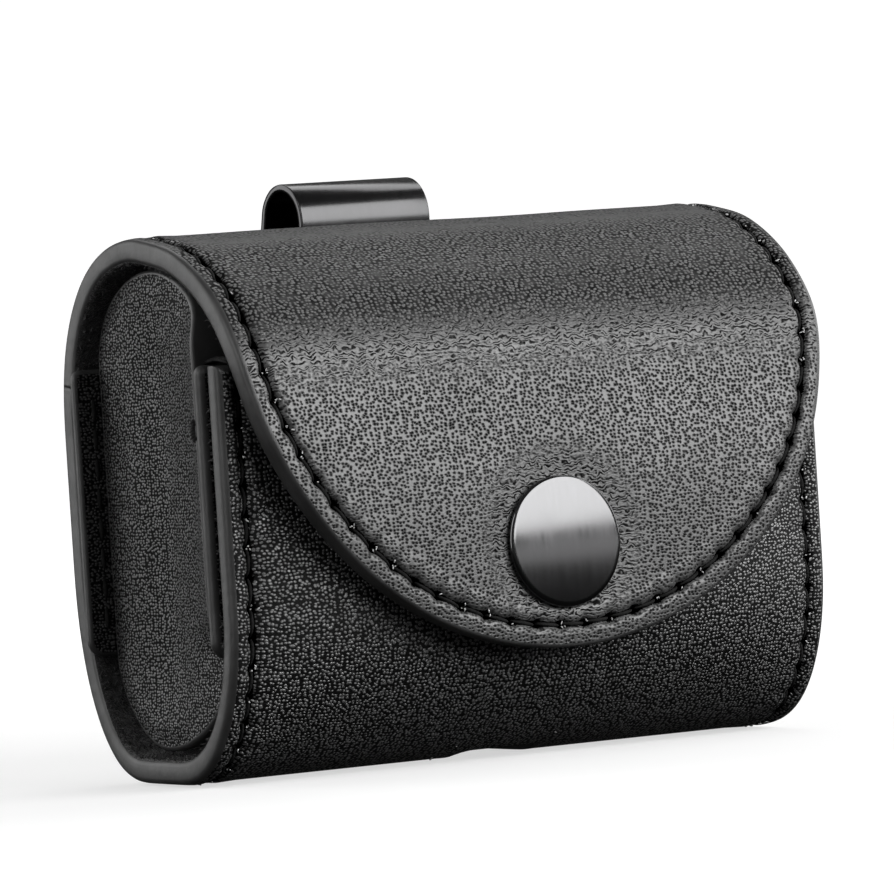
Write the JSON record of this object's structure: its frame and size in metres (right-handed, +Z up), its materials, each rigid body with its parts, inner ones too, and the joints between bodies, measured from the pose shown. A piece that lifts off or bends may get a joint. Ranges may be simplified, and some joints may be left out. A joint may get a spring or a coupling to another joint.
{
  "type": "leather belt pouch",
  "caption": "Small black leather belt pouch with stitched edges, a half-round snap flap, boxed side gussets and a spring-steel belt clip on the back.",
  "frame": {"origin": "bottom centre of the bounding box, on the surface the pouch stands on", "axes": "+Z up, the flap and its snap face -Y, +X along the pouch's width towards its right side as seen from the front"},
  "size_m": [0.072, 0.0446, 0.0592],
  "materials": {
    "black_leather": "pebbled satin leather with painted semi-gloss edges",
    "microfibre": "napped black microfibre",
    "thread": "twisted black sewing thread",
    "gunmetal": "satin gunmetal plating",
    "black_steel": "glossy black-plated spring steel"
  },
  "bodies": {
    "case": {"shell_leather": "black_leather", "shell_lining": "microfibre", "left_edge_thread": "thread", "right_edge_thread": "thread", "window_thread": "thread", "left_gusset": "black_leather", "right_gusset": "black_leather", "left_gusset_lining": "microfibre", "right_gusset_lining": "microfibre", "left_seam_tack": "thread", "right_seam_tack": "thread", "snap_stud": "gunmetal", "snap_post": "gunmetal", "clip_base_leaf": "black_steel", "clip_rivet_lower": "gunmetal", "clip_rivet_upper": "gunmetal", "clip_washer_lower": "gunmetal", "clip_washer_upper": "gunmetal"},
    "flap": {"flap_leather": "black_leather", "flap_lining": "microfibre", "flap_edge_thread": "thread", "snap_cap": "gunmetal", "snap_socket": "gunmetal"},
    "clip_spring": {"clip_spring_leaf": "black_steel"}
  },
  "joints": [
    {"name": "flap_hinge", "type": "hinge", "parent": "case", "child": "flap", "pos_m": [0, 0.00558, 0.05413], "axis": [-1, 0, 0], "range_deg": [0, 135]},
    {"name": "clip_flex", "type": "hinge", "parent": "case", "child": "clip_spring", "pos_m": [0, 0.01678, 0.059], "axis": [1, 0, 0], "range_deg": [0, 8], "stiffness_Nm_per_rad": 2, "springref_deg": -2.86}
  ]
}
